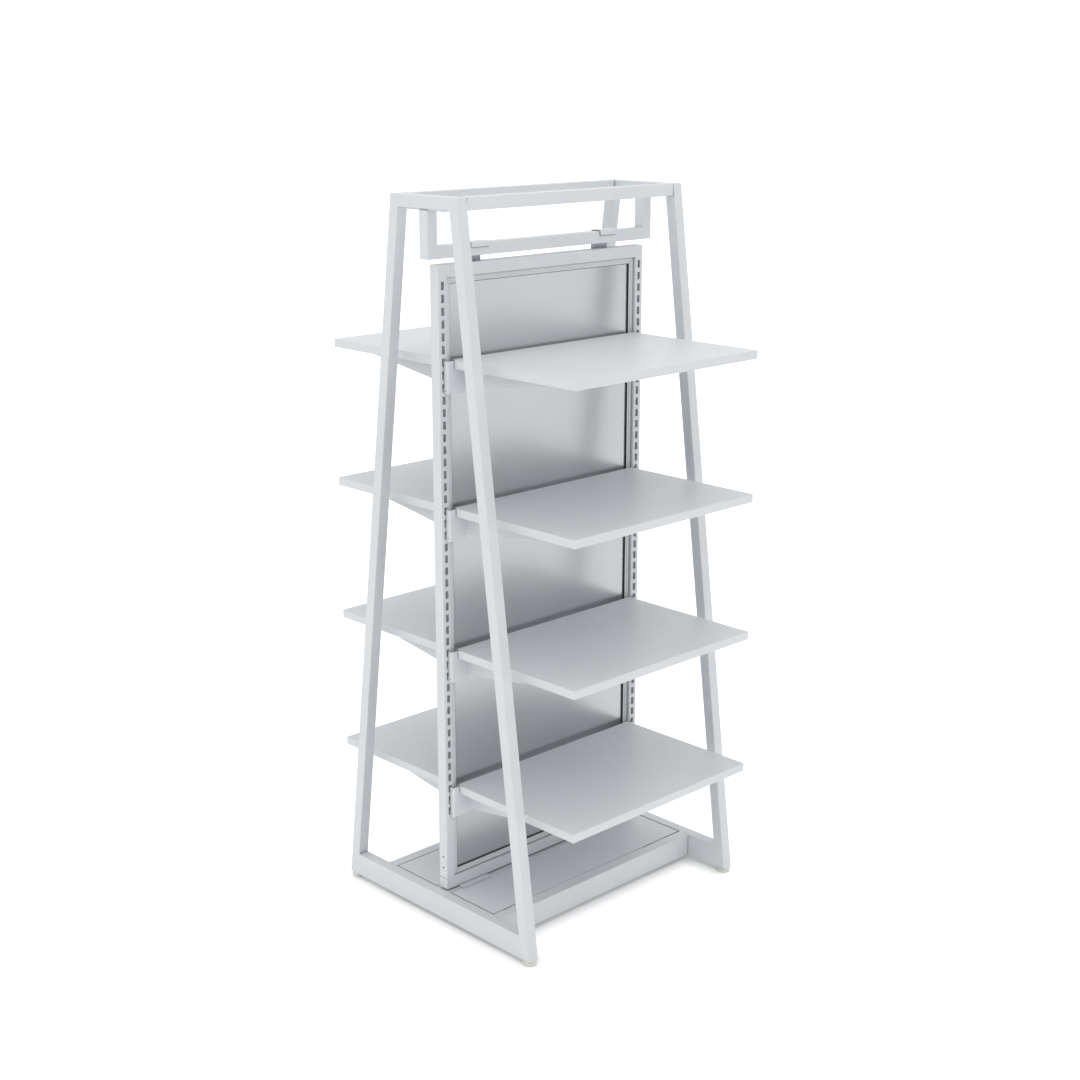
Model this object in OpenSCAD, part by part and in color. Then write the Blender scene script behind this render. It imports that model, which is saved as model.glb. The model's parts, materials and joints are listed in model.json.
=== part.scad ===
// Double-sided gondola shelving unit: an A-shaped frame of square tube with a slotted centre panel
// frame, four trays on each side, a low plinth, a hanger bar and levelling feet.
// Origin on the floor under the middle. +X along the trays, -Y to the front, +Z up. Millimetres.

/* [Overall] */
// Outer length over the two end frames
unit_l = 630; // [580:10:1000]
// Height of the top rectangle above the floor
unit_h = 1515; // [1480:5:1600]
// Outer depth of an end frame at the top
top_d = 195; // [160:5:260]
// Outer depth of an end frame at the bottom of its legs
foot_d = 580; // [520:10:640]

/* [Tube] */
// Side of the square frame tube
tube = 25; // [22:1:30]
// Wall of every tube
wall = 1.5; // [1.2:0.1:2]
// Height of the tall tube of the end frames' bottom rails and of the plinth
tall = 50; // [40:1:51]

/* [Panel frame] */
// Width of a slotted upright along X
upright_w = 22; // [20:1:24]
// Height of the panel frame's foot above the floor
panel_z0 = 63; // [61:1:66]
// Height of the panel frame's top above the floor
panel_z1 = 1382; // [1370:1:1385]
// Thickness of the panel sheet
panel_t = 3; // [2:0.5:4]
// Width of a trim bead
bead_w = 12.5; // [11:0.5:14]
// Height of a screw hole row above the bottom of an upright
grub_z = 22.5; // [18:0.5:25]

/* [Slots] */
// Spacing of the slots
pitch = 25; // [25:1:25]
// Number of slots in a row
slot_n = 45; // [45:1:47]
// Height of the centre of the top slot
slot_top_z = 1342; // [1342:1:1344]
// Height of a slot
slot_h = 16; // [15.5:0.5:17]
// Width of a slot
slot_w = 8; // [7:0.5:9]

/* [Shelves] */
// Number of trays on each side
levels = 4; // [1:1:4]
// Height of the lowest tray's top
shelf_z0 = 297; // [297:1:299]
// Slots between one tray and the next
shelf_pitches = 12; // [12:1:12]
// Length of a tray
tray_l = 524; // [500:1:530]
// Distance from the unit's middle to a tray's outer edge
tray_out = 360; // [340:5:380]
// Height of a tray's folded edge
tray_h = 18; // [16:1:24]
// Thickness of the tray sheet
sheet = 1.2; // [1:0.1:1.5]

/* [Plinth] */
// Distance from the unit's middle to the plinth's front face
plinth_out = 182; // [170:1:200]

/* [Feet] */
// Height of the legs' ends above the floor
leg_z = 10; // [9:1:12]
// Diameter of a levelling foot
foot_dia = 28; // [24:1:32]

/* [Hidden] */
$fn = 48;
eps = 0.01;                                     // overlap of the parts of one solid
through = 1;                                    // overshoot of a cut past a face
hole_gap = 0.1;                                 // room all round a screw, stud or spigot in its hole
joint_gap = 0.002;                              // keeps the slanted ends of a rail off the legs' faces
half_l = unit_l / 2;                            // outer face of an end frame
inner_l = half_l - tube;                        // inner face of an end frame
lean = (foot_d - top_d) / 2 / (unit_h - leg_z); // run of a leg's slope for each unit of rise
leg_w = tube * sqrt(1 + lean * lean);           // level width of a leaning tube
leg_wall = wall * sqrt(1 + lean * lean);
plinth_z = leg_z + tall;                        // top of the plinth and of the end frames' bottom rails

// hanger
hanger_z0 = panel_z1 + 12;
hanger_z1 = hanger_z0 + tube;
flange_l = 114;
flange_w = 20;
flange_t = 3;
post_z1 = unit_h - tube - flange_t;

// clips over the hanger bar
clip_x = 181;
clip_w = 48;
clip_t = 1;
liner_t = 1.5;
liner_drop = 0.8;                               // how far the liner shows below the clip's lip
clip_out = clip_t + liner_t;
clip_lip = 11;
clip_drop = 20;
clip_screw_dx = 14;
clip_screw_d = 4;
clip_head_t = 2.4;
clip_screw_in = 4;                              // reach of a clip screw into the rail

// panel frame
rail_z1 = panel_z0 + tube;                      // top of its bottom rail
head_z0 = panel_z1 - tube;                      // bottom of its top rail
upright_in = inner_l - upright_w;               // inner face of an upright
upright_mid = inner_l - upright_w / 2;
insert_h = 62;
grub_d = 4;
grub_recess = 1;
grub_len = 12;
grub_x = upright_mid - 2;                       // inner end of the grub screws' holes
cap_t = 1.5;
cap_spigot = 10;
panel_gap = 2;
bead_out = tube / 2 - 6;                        // face of the trim, recessed from the frame's face
bead_step_w = 4.5;
bead_step = 1;
seal_t = 1;
seal_out = bead_out - bead_step - 0.5;

// brackets
bracket_t = 2.5;
bracket_top = 2;                                // below the tray's top
bracket_h = 65;
bracket_out = 24;                               // face of the bracket's cross flange
arm_x = 230.5;                                  // outer face of the arm
arm_end = tray_out - 35;
arm_root_h = 60;
arm_tip_h = 17;
arm_flat = 14;
lip_w = 15;
hook_slot = 30;                                 // from the tray's top down to its upper slot
hook_neck = 8;
hook_drop = 7;
hook_gap = 0.3;
lock_hole_d = 3.2;
lock_hole_up = 6;                               // above the bracket's lower end

// tray
tray_in = 15;                                   // inner edge of the tray's sheet
tray_side_in = 25;                              // where its side edges begin
tray_hem = 12;

// plinth
mid_w = 40;
mid_h = 20;
mid_z0 = plinth_z - mid_h;
deck_gap = 3;
deck_t = 1.5;
deck_edge = 15;
bearer_w = 40;
bearer_h = 20;
plate_x = 217;
plate_l = 80;
plate_out = 27;
plate_screw_dx = 15;
plate_screw_d = 6;
plate_head_d = 10;
plate_head_t = 6;
plate_screw_in = 7;                             // reach of a plate screw into the panel frame

// feet
plug_h = 20;
stud_d = 8;
stud_top = 40;
foot_edge = 2;
foot_taper = 3;
foot_x = half_l - tube / 2;
foot_y = foot_d / 2 - tube / 2;

frame_white = "#E4E8EB";
panel_silver = "#B9BDC1";
seal_black = "#1E1F20";
foot_ivory = "#E9E6D6";
steel = "#A9ADB0";

sides = ["front", "rear"];
ends = ["left", "right"];
corners = ["front_left", "front_right", "rear_left", "rear_right"];

// Distance from the middle to a leg's outer edge at height z
function leg_edge(z) = foot_d / 2 - (z - leg_z) * lean;

// Distance from the middle to a leg's inner edge at height z
function leg_inner(z) = leg_edge(z) - leg_w;

// Height of the top of tray i, counted from the top tray down
function tray_z(i) = shelf_z0 + (levels - i) * shelf_pitches * pitch;

// Centre height of slot k, counted from the top
function slot_z(k) = slot_top_z - k * pitch;

// +1 at the right end or the rear, -1 at the left end or the front
function hand(name) = name == "right" || name == "rear" ? 1 : -1;

// An outline drawn in Y and Z, extruded along X from x0 to x1
module along_x(x0, x1)
    translate([x0, 0, 0]) rotate([90, 0, 90]) linear_extrude(x1 - x0) children();

// An outline drawn in X and Z, extruded along Y from y0 to y1
module along_y(y0, y1)
    translate([0, y1, 0]) rotate([90, 0, 0]) linear_extrude(y1 - y0) children();

// A block between two corners
module block(a, b) translate(a) cube(b - a);

// Children on the given end of the unit, drawn for the right one
module at_end(e) mirror([e < 0 ? 1 : 0, 0, 0]) children();

// Children on the given side of the unit, drawn for the rear one
module at_side(s) mirror([0, s < 0 ? 1 : 0, 0]) children();

// A box tube along one axis ("x", "y" or "z"), open at both of its ends
module box_tube(a, b, axis) {
    in = [axis == "x" ? -through : wall, axis == "y" ? -through : wall, axis == "z" ? -through : wall];
    difference() {
        block(a, b);
        block(a + in, b - in);
    }
}

// A round rod or hole along X, Y or Z, centred on its start
module rod_x(r, len) rotate([0, 90, 0]) cylinder(r = r, h = len);
module rod_y(r, len) rotate([-90, 0, 0]) cylinder(r = r, h = len);

// ---- end frames ----

// Leaning leg of the right rear corner: open at the foot, closed at the top
module leg_solid() {
    difference() {
        along_x(inner_l, half_l) polygon([
            [leg_inner(leg_z), leg_z],
            [leg_edge(leg_z), leg_z],
            [leg_edge(unit_h), unit_h],
            [leg_inner(unit_h), unit_h]
        ]);
        leg_cavity(leg_z - through, unit_h - wall);
    }
}

// The space inside the right rear leg between two heights
module leg_cavity(z0, z1)
    along_x(inner_l + wall, half_l - wall) polygon([
        [leg_inner(z0) + leg_wall, z0],
        [leg_edge(z0) - leg_wall, z0],
        [leg_edge(z1) - leg_wall, z1],
        [leg_inner(z1) + leg_wall, z1]
    ]);

module leg(e, s) color(frame_white) at_end(e) at_side(s) leg_solid();

// Rail between the two legs of the right end frame, its ends cut to the legs' lean
module end_rail_solid(z0, z1) {
    low = leg_inner(z0) - joint_gap;
    high = leg_inner(z1) - joint_gap;
    difference() {
        along_x(inner_l, half_l) polygon([[-low, z0], [low, z0], [high, z1], [-high, z1]]);
        block([inner_l + wall, -foot_d, z0 + wall], [half_l - wall, foot_d, z1 - wall]);
    }
}

module end_top_rail(e) color(frame_white) at_end(e) end_rail_solid(unit_h - tube, unit_h);

module end_bottom_rail(e) color(frame_white) at_end(e) end_rail_solid(leg_z, plinth_z);

// ---- top and hanger ----

module long_top_rail(s)
    color(frame_white) at_side(s)
        box_tube([-inner_l, top_d / 2 - tube, unit_h - tube], [inner_l, top_d / 2, unit_h], "x");

// Post under the end frame's top rail, closed at its foot
module hanger_post(e)
    color(frame_white) at_end(e) difference() {
        block([inner_l, -tube / 2, hanger_z0], [half_l, tube / 2, post_z1]);
        block(
            [inner_l + wall, -tube / 2 + wall, hanger_z0 + wall],
            [half_l - wall, tube / 2 - wall, post_z1 + through]
        );
    }

module hanger_bar()
    color(frame_white) box_tube([-inner_l, -tube / 2, hanger_z0], [inner_l, tube / 2, hanger_z1], "x");

// Round-ended plates between the posts and the end frames' top rails
module hanger_flanges()
    color(frame_white) for (e = [-1, 1]) at_end(e) translate([inner_l + tube / 2, 0, post_z1]) hull()
        for (s = [-1, 1])
            translate([0, s * (flange_l - flange_w) / 2, 0]) cylinder(r = flange_w / 2, h = flange_t);

// Places of the two screws of a clip
module clip_screw_places()
    for (dx = [-clip_screw_dx, clip_screw_dx])
        translate([clip_x + dx, 0, (head_z0 + panel_z1) / 2]) children();

// Sheet clip: a short lip in front of the bar, a top, and a long leg down the panel frame's rear face
module hook_clip(e) {
    y = tube / 2;
    top = hanger_z1 + clip_out;
    foot = panel_z1 - clip_drop;
    color(frame_white) at_end(e) difference() {
        along_x(clip_x - clip_w / 2, clip_x + clip_w / 2) polygon([
            [-y - clip_out, top],
            [-y - clip_out, top - clip_lip],
            [-y - liner_t, top - clip_lip],
            [-y - liner_t, top - clip_t],
            [y, top - clip_t],
            [y, foot],
            [y + clip_t, foot],
            [y + clip_t, top]
        ]);
        clip_screw_places() rod_y(clip_screw_d / 2 + hole_gap, tube);
    }
}

// Soft liners under the clips' tops and inside their lips
module clip_liners() {
    y = tube / 2;
    z = hanger_z1;
    lip_z = z + clip_out - clip_lip - liner_drop;
    color(seal_black) for (e = [-1, 1]) at_end(e) along_x(clip_x - clip_w / 2, clip_x + clip_w / 2) polygon([
        [-y - liner_t, z + liner_t],
        [-y - liner_t, lip_z],
        [-y, lip_z],
        [-y, z],
        [y, z],
        [y, z + liner_t]
    ]);
}

// Four button-head screws behind the clips
module clip_screws()
    color(steel) for (e = [-1, 1]) at_end(e) clip_screw_places() {
        translate([0, tube / 2 + clip_t, 0]) rod_y(clip_screw_d, clip_head_t);
        translate([0, tube / 2 - clip_screw_in, 0]) rod_y(clip_screw_d / 2, clip_screw_in + clip_t + eps);
    }

// ---- centre panel frame ----

// Slotted upright: open at the foot, closed at the top, slots through its front and rear walls
module upright(e) {
    color(frame_white) at_end(e) difference() {
        block([upright_in, -tube / 2, rail_z1], [inner_l, tube / 2, panel_z1]);
        block(
            [upright_in + wall, -tube / 2 + wall, rail_z1 - through],
            [inner_l - wall, tube / 2 - wall, panel_z1 - wall]
        );
        for (k = [0:slot_n - 1])
            block(
                [upright_mid - slot_w / 2, -tube, slot_z(k) - slot_h / 2],
                [upright_mid + slot_w / 2, tube, slot_z(k) + slot_h / 2]
            );
        grub_holes();
    }
}

// Two holes through the outer wall of an upright and into its insert
module grub_holes()
    for (k = [0, 1])
        translate([grub_x, 0, rail_z1 + grub_z + k * pitch]) rod_x(grub_d / 2 + hole_gap, tube);

// Solid block inside the foot of each upright
module upright_inserts()
    color(steel) for (e = [-1, 1]) at_end(e) difference() {
        block(
            [upright_in + wall, -tube / 2 + wall, rail_z1],
            [inner_l - wall, tube / 2 - wall, rail_z1 + insert_h]
        );
        grub_holes();
    }

module grub_screws()
    color(steel) for (e = [-1, 1]) at_end(e) for (k = [0, 1])
        translate([inner_l - grub_recess - grub_len, 0, rail_z1 + grub_z + k * pitch])
            rod_x(grub_d / 2, grub_len);

// Top rail between the uprights, with the clips' screw holes in its rear wall
module panel_top_rail()
    color(frame_white) difference() {
        box_tube([-upright_in, -tube / 2, head_z0], [upright_in, tube / 2, panel_z1], "x");
        for (e = [-1, 1]) at_end(e) clip_screw_places() rod_y(clip_screw_d / 2 + hole_gap, tube);
    }

// Bottom rail under both uprights, with the plate screws' holes in its lower wall
module panel_bottom_rail()
    color(frame_white) difference() {
        box_tube([-inner_l + cap_t, -tube / 2, panel_z0], [inner_l - cap_t, tube / 2, rail_z1], "x");
        plate_screw_holes(panel_z0 - through, panel_z0 + wall + through);
    }

// Push-in caps at the two ends of the bottom rail
module rail_end_caps() {
    fit = wall + hole_gap;
    color(frame_white) for (e = [-1, 1]) at_end(e) union() {
        block([inner_l - cap_t, -tube / 2, panel_z0], [inner_l, tube / 2, rail_z1]);
        block(
            [inner_l - cap_t - cap_spigot, -tube / 2 + fit, panel_z0 + fit],
            [inner_l - cap_t, tube / 2 - fit, rail_z1 - fit]
        );
    }
}

module back_panel()
    color(panel_silver) block(
        [-upright_in + panel_gap, -panel_t / 2, rail_z1 + panel_gap],
        [upright_in - panel_gap, panel_t / 2, head_z0 - panel_gap]
    );

// A rectangular ring inside the panel frame: inset from its opening, w wide, between two depths
module ring(inset, w, y0, y1)
    difference() {
        block([-upright_in + inset, y0, rail_z1 + inset], [upright_in - inset, y1, head_z0 - inset]);
        block(
            [-upright_in + inset + w, y0 - through, rail_z1 + inset + w],
            [upright_in - inset - w, y1 + through, head_z0 - inset - w]
        );
    }

// Stepped bead that holds the panel in its frame
module trim(s)
    color(frame_white) at_side(s) union() {
        ring(0, bead_w, panel_t / 2, bead_out - bead_step);
        ring(0, bead_w - bead_step_w, bead_out - bead_step, bead_out);
    }

// Thin black seal that lines the bead's inner edge
module seal(s) color(seal_black) at_side(s) ring(bead_w, seal_t, panel_t / 2, seal_out);

// ---- plinth ----

module plinth_rail(s)
    color(frame_white) at_side(s) box_tube(
        [-inner_l, plinth_out - tube, plinth_z - tall],
        [inner_l, plinth_out, plinth_z],
        "x"
    );

// Places of the two screws at each end, on the deck's middle line
module plate_screw_places()
    for (e = [-1, 1]) at_end(e) for (dx = [-plate_screw_dx, plate_screw_dx])
        translate([plate_x + dx, 0, 0]) children();

// Their holes between two heights
module plate_screw_holes(z0, z1)
    plate_screw_places() translate([0, 0, z0]) cylinder(r = plate_screw_d / 2 + hole_gap, h = z1 - z0);

// Flat tube under the panel frame, between the two decks
module plinth_middle_rail()
    color(frame_white) difference() {
        box_tube([-inner_l, -mid_w / 2, mid_z0], [inner_l, mid_w / 2, plinth_z], "x");
        plate_screw_holes(mid_z0 - through, plinth_z + through);
    }

// Four box bearers under the decks, from the plinth rails to the middle one
module deck_bearers()
    color(frame_white) for (e = [-1, 1]) for (s = [-1, 1]) at_end(e) at_side(s) box_tube(
        [plate_x - bearer_w / 2, mid_w / 2, plinth_z - deck_t - bearer_h],
        [plate_x + bearer_w / 2, plinth_out - tube, plinth_z - deck_t],
        "y"
    );

// Inset deck sheet of one side, with its two ends folded down
module deck(s) {
    x = inner_l - deck_gap;
    y0 = mid_w / 2 + deck_gap;
    y1 = plinth_out - tube - deck_gap;
    color(frame_white) at_side(s) union() {
        block([-x, y0, plinth_z - deck_t], [x, y1, plinth_z]);
        for (e = [-1, 1]) at_end(e)
            block([x - deck_t, y0, plinth_z - deck_edge], [x, y1, plinth_z - deck_t + eps]);
    }
}

// Flat packing plates between the middle rail and the panel frame's foot
module foot_plates()
    color(frame_white) difference() {
        for (e = [-1, 1]) at_end(e) block(
            [plate_x - plate_l / 2, -plate_out, plinth_z],
            [plate_x + plate_l / 2, plate_out, panel_z0]
        );
        plate_screw_holes(plinth_z - through, panel_z0 + through);
    }

// Cap screws from below, through middle rail and plate into the panel frame
module plate_screws()
    color(steel) plate_screw_places() {
        translate([0, 0, mid_z0 - plate_head_t]) cylinder(r = plate_head_d / 2, h = plate_head_t);
        translate([0, 0, mid_z0 - eps])
            cylinder(r = plate_screw_d / 2, h = panel_z0 + plate_screw_in - mid_z0 + eps);
    }

// ---- feet ----

// Plugs in the four leg ends, each with the hole for a foot's stud
module leg_plugs()
    color(seal_black) for (e = [-1, 1]) for (s = [-1, 1]) at_end(e) at_side(s) difference() {
        leg_cavity(leg_z, leg_z + plug_h);
        translate([foot_x, foot_y, 0]) cylinder(r = stud_d / 2 + hole_gap, h = leg_z + plug_h + through);
    }

// Round levelling foot with its stud
module foot(e, s)
    color(foot_ivory) at_end(e) at_side(s) translate([foot_x, foot_y, 0]) rotate_extrude() polygon([
        [0, 0],
        [foot_dia / 2 - foot_edge, 0],
        [foot_dia / 2, foot_edge],
        [foot_dia / 2, leg_z - foot_taper],
        [foot_dia / 2 - foot_taper, leg_z],
        [stud_d / 2, leg_z],
        [stud_d / 2, stud_top],
        [0, stud_top]
    ]);

// ---- shelves ----

// Folded tray: a sheet with edges turned down, and hems turned in under the outer three
module tray(s, i) {
    z = tray_z(i);
    x = tray_l / 2;
    color(frame_white) at_side(s) union() {
        block([-x, tray_in, z - sheet], [x, tray_out, z]);
        block([-x, tray_out - sheet, z - tray_h], [x, tray_out, z - sheet + eps]);
        block([-x, tray_in, z - tray_h], [x, tray_in + sheet, z - sheet + eps]);
        block([-x, tray_out - tray_hem, z - tray_h], [x, tray_out - sheet + eps, z - tray_h + sheet]);
        for (e = [-1, 1]) at_end(e) {
            block([x - sheet, tray_side_in, z - tray_h], [x, tray_out, z - sheet + eps]);
            block(
                [x - tray_hem, tray_side_in, z - tray_h],
                [x - sheet + eps, tray_out, z - tray_h + sheet]
            );
        }
    }
}

// Bent bracket: a slotted hook strip, a cross flange and a tapering arm with a lip under the tray
module bracket_solid(z) {
    top = z - bracket_top;
    low = top - bracket_h;
    face = tube / 2 + hook_gap;
    strip_x = upright_mid;
    back = tube / 2 - wall - hook_gap;
    arm_top = z - sheet;
    difference() {
        union() {
            block([strip_x - bracket_t, face, low], [strip_x, bracket_out, top]);
            block([arm_x - bracket_t, bracket_out - bracket_t, low], [strip_x, bracket_out, top]);
            for (k = [0, 1]) along_x(strip_x - bracket_t, strip_x)
                translate([0, z - hook_slot - k * pitch - slot_h / 2]) polygon([
                    [face + eps, 0],
                    [back, 0],
                    [back, -hook_drop],
                    [back - bracket_t, -hook_drop],
                    [back - bracket_t, hook_neck],
                    [face + eps, hook_neck]
                ]);
            along_x(arm_x - bracket_t, arm_x) polygon([
                [bracket_out - eps, arm_top],
                [bracket_out - eps, z - arm_root_h],
                [bracket_out + arm_flat, z - arm_root_h],
                [arm_end, z - arm_tip_h],
                [arm_end, arm_top]
            ]);
            block([arm_x - lip_w, bracket_out + arm_flat, arm_top - bracket_t], [arm_x, arm_end, arm_top]);
        }
        translate([strip_x - tube / 2, (face + bracket_out) / 2, low + lock_hole_up])
            rod_x(lock_hole_d / 2, tube);
    }
}

module brackets(s, i) color(frame_white) at_side(s) for (e = [-1, 1]) at_end(e) bracket_solid(tray_z(i));

// ---- drawing ----

for (e = ends) {
    leg(hand(e), -1);
    leg(hand(e), 1);
    end_top_rail(hand(e));
    end_bottom_rail(hand(e));
    hanger_post(hand(e));
    hook_clip(hand(e));
    upright(hand(e));
}
hanger_flanges();
hanger_bar();
clip_liners();
clip_screws();
panel_top_rail();
panel_bottom_rail();
rail_end_caps();
upright_inserts();
grub_screws();
back_panel();
for (s = sides) {
    long_top_rail(hand(s));
    trim(hand(s));
    seal(hand(s));
    plinth_rail(hand(s));
    deck(hand(s));
    for (i = [1:levels]) {
        tray(hand(s), i);
        brackets(hand(s), i);
    }
    for (e = ends)
        foot(hand(e), hand(s));
}
plinth_middle_rail();
deck_bearers();
foot_plates();
plate_screws();
leg_plugs();
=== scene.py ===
"""Looks of a double-sided gondola shelving unit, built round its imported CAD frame.

Frame, in metres: origin on the floor under the middle, +X along the trays, -Y to the front, +Z up.
Places come from the frame's boxes and mounts. Finishing sizes, such as bend radii, are named below.
"""

import json
import math

import bmesh
import bpy
from mathutils import Matrix, Vector


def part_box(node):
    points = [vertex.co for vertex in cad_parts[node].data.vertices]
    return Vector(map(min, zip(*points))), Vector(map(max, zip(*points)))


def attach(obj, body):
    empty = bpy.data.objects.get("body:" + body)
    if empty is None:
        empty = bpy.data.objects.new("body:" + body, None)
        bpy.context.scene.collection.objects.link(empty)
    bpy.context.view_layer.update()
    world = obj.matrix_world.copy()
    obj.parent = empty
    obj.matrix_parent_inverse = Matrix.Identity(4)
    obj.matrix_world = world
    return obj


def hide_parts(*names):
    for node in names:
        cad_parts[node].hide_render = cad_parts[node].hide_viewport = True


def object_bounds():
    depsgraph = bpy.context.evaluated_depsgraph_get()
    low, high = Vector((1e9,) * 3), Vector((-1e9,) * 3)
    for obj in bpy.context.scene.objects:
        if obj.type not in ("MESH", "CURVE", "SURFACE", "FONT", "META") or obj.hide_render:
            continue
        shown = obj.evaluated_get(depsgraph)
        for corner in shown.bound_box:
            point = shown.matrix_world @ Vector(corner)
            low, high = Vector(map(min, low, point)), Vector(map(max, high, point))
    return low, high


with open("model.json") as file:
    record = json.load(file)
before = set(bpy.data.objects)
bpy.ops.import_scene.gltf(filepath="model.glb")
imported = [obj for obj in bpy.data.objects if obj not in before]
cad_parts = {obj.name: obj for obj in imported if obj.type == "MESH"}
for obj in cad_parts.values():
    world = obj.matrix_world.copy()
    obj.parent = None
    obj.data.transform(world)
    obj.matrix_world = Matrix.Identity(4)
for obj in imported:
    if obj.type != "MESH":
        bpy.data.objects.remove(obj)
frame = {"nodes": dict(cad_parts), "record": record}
cad_low, cad_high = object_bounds()

MM = 0.001
SIDES = {"front": -1, "rear": 1}
ENDS = {"left": -1, "right": 1}
LEVELS = 4
BODY = "frame"

# ---- finishing sizes ----

TUBE_ROUND = 1.4 * MM      # outer corners of the square tubes
BORE_ROUND = 0.6 * MM      # their inner corners
SHEET_BEND = 1.5 * MM      # outer bends of folded sheet
GROUND_EDGE = 0.5 * MM     # welded corners, ground and painted over
BUTT_EDGE = 0.3 * MM       # where a tube's end meets another part
SEAM = 0.8 * MM            # dark line where a welded-in rail was left unground
WALL = 1.5 * MM
ARC_STEPS = 4              # flats in a quarter of a bend
SHARP_ANGLE = 38           # degrees; edges above it stay crisp
SHY = 0.002 * MM           # a cut passes this far outside a face that it follows

# ---- sizes read from the frame ----


def size_of(node):
    low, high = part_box(node)
    return high - low


mounts = {m["name"]: Vector(m["pos_m"]) for m in frame["record"]["mounts"]}
TUBE = size_of("hanger_bar").z
TOP = cad_high.z
LEG_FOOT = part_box("right_rear_leg")[0].z
FOOT_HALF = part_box("right_rear_leg")[1].y
TOP_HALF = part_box("rear_top_rail")[1].y
END_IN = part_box("right_rear_leg")[0].x
END_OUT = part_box("right_rear_leg")[1].x
END_RAIL_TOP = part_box("right_bottom_rail")[1].z
LEAN = (FOOT_HALF - TOP_HALF) / (TOP - LEG_FOOT)
LEG_WIDTH = TUBE * math.hypot(1, LEAN)

UPRIGHT_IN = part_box("right_upright")[0].x
UPRIGHT_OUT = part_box("right_upright")[1].x
UPRIGHT_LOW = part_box("right_upright")[0].z
PANEL_FRAME_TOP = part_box("right_upright")[1].z
HEAD_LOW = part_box("panel_top_rail")[0].z


def leg_edge(z):
    """Distance from the middle to a leg's outer edge at height z."""
    return FOOT_HALF - (z - LEG_FOOT) * LEAN


def leg_inner(z):
    return leg_edge(z) - LEG_WIDTH


# ---- outlines, as lists of flat points ----


def quarter(radius):
    """(depth, setback) along a quarter bend: from (0, radius) to (radius, 0)."""
    turns = [math.radians(90 * k / ARC_STEPS) for k in range(ARC_STEPS + 1)]
    return [(radius * (1 - math.cos(t)), radius * (1 - math.sin(t))) for t in turns]


def rounded(points, radius, closed=True, steps=ARC_STEPS):
    """The line with its corners turned into arcs. The two ends of an open line stay."""
    result = []
    count = len(points)
    for i, point in enumerate(points):
        corner = Vector(point)
        if not closed and i in (0, count - 1):
            result.append(corner)
            continue
        back = (Vector(points[i - 1]) - corner).normalized()
        ahead = (Vector(points[(i + 1) % count]) - corner).normalized()
        half = back.angle(ahead) / 2
        centre = corner + (back + ahead).normalized() * radius / math.sin(half)
        start = corner + back * radius / math.tan(half) - centre
        end = corner + ahead * radius / math.tan(half) - centre
        turn = start.angle_signed(end)
        for k in range(steps + 1):
            angle = -turn * k / steps
            result.append(centre + Matrix.Rotation(angle, 2) @ start)
    return result


def moved_in(outline, distance):
    """A closed outline, anticlockwise, with every side moved inwards."""
    result = []
    for i, point in enumerate(outline):
        corner = Vector(point)
        before = (corner - Vector(outline[i - 1])).normalized()
        after = (Vector(outline[(i + 1) % len(outline)]) - corner).normalized()
        n1, n2 = Vector((-before.y, before.x)), Vector((-after.y, after.x))
        result.append(corner + (n1 + n2) * distance / (1 + n1.dot(n2)))
    return result


def folded(line, thickness, bend):
    """Outline of a bent sheet: its outer face follows an open line, and the metal lies on the line's left."""
    outer = rounded(line, bend, closed=False)
    inner = []
    for i, point in enumerate(outer):
        before = (point - outer[i - 1]).normalized() if i else None
        after = (outer[i + 1] - point).normalized() if i + 1 < len(outer) else None
        n1 = Vector((-before.y, before.x)) if before else Vector((-after.y, after.x))
        n2 = Vector((-after.y, after.x)) if after else n1
        inner.append(point + (n1 + n2) * thickness / (1 + n1.dot(n2)))
    return outer + inner[::-1]


def folded_pairs(line, thickness, bend):
    """Pairs of points on the two faces of a sheet that bends along an open line."""
    outline = folded(line, thickness, bend)
    half = len(outline) // 2
    return list(zip(outline[:half], outline[::-1][:half]))


def rectangle(a, b, c, d):
    """Corners of the rectangle from (a, c) to (b, d), anticlockwise."""
    return [(a, c), (b, c), (b, d), (a, d)]


# ---- solids, as bmesh ----


def lift(axis, u, v, w):
    """A flat point (u, v) at w along an axis."""
    return Vector({"x": (w, u, v), "y": (u, w, v), "z": (u, v, w)}[axis])


def loft(loops, ring=False):
    """Skin over closed loops of points. A ring of loops closes on itself; otherwise both ends are capped."""
    bm = bmesh.new()
    rows = [[bm.verts.new(p) for p in loop] for loop in loops]
    count = len(rows[0])
    for i in range(len(rows) if ring else len(rows) - 1):
        here, there = rows[i], rows[(i + 1) % len(rows)]
        for k in range(count):
            bm.faces.new((here[k], here[(k + 1) % count], there[(k + 1) % count], there[k]))
    if not ring:
        bm.faces.new(rows[0][::-1])
        bm.faces.new(rows[-1])
    return bm


def prism(outline, axis, a, b):
    return loft([[lift(axis, p[0], p[1], w) for p in outline] for w in (a, b)])


def tube_ring(outer, inner, axis, a, b, radius):
    """A closed frame of tube between two outlines and two planes, its long edges rounded."""
    bend = quarter(radius)
    loops = [(moved_in(outer, d), b - e) for d, e in bend]
    loops += [(moved_in(inner, -d), b - e) for d, e in bend[::-1]]
    loops += [(moved_in(inner, -d), a + e) for d, e in bend]
    loops += [(moved_in(outer, d), a + e) for d, e in bend[::-1]]
    return loft([[lift(axis, p.x, p.y, w) for p in loop] for loop, w in loops], ring=True)


def bar(node, axis, radius=TUBE_ROUND, trim=0.0):
    """A tube in a node's box, with rounded long edges. trim shortens both of its ends."""
    low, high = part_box(node)
    i, j, k = {"x": (1, 2, 0), "y": (0, 2, 1), "z": (0, 1, 2)}[axis]
    outline = rounded(rectangle(low[i], high[i], low[j], high[j]), radius)
    return prism(outline, axis, low[k] + trim, high[k] - trim)


def circle(count):
    """Angles evenly round a full turn."""
    return [2 * math.pi * k / count for k in range(count)]


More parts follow.
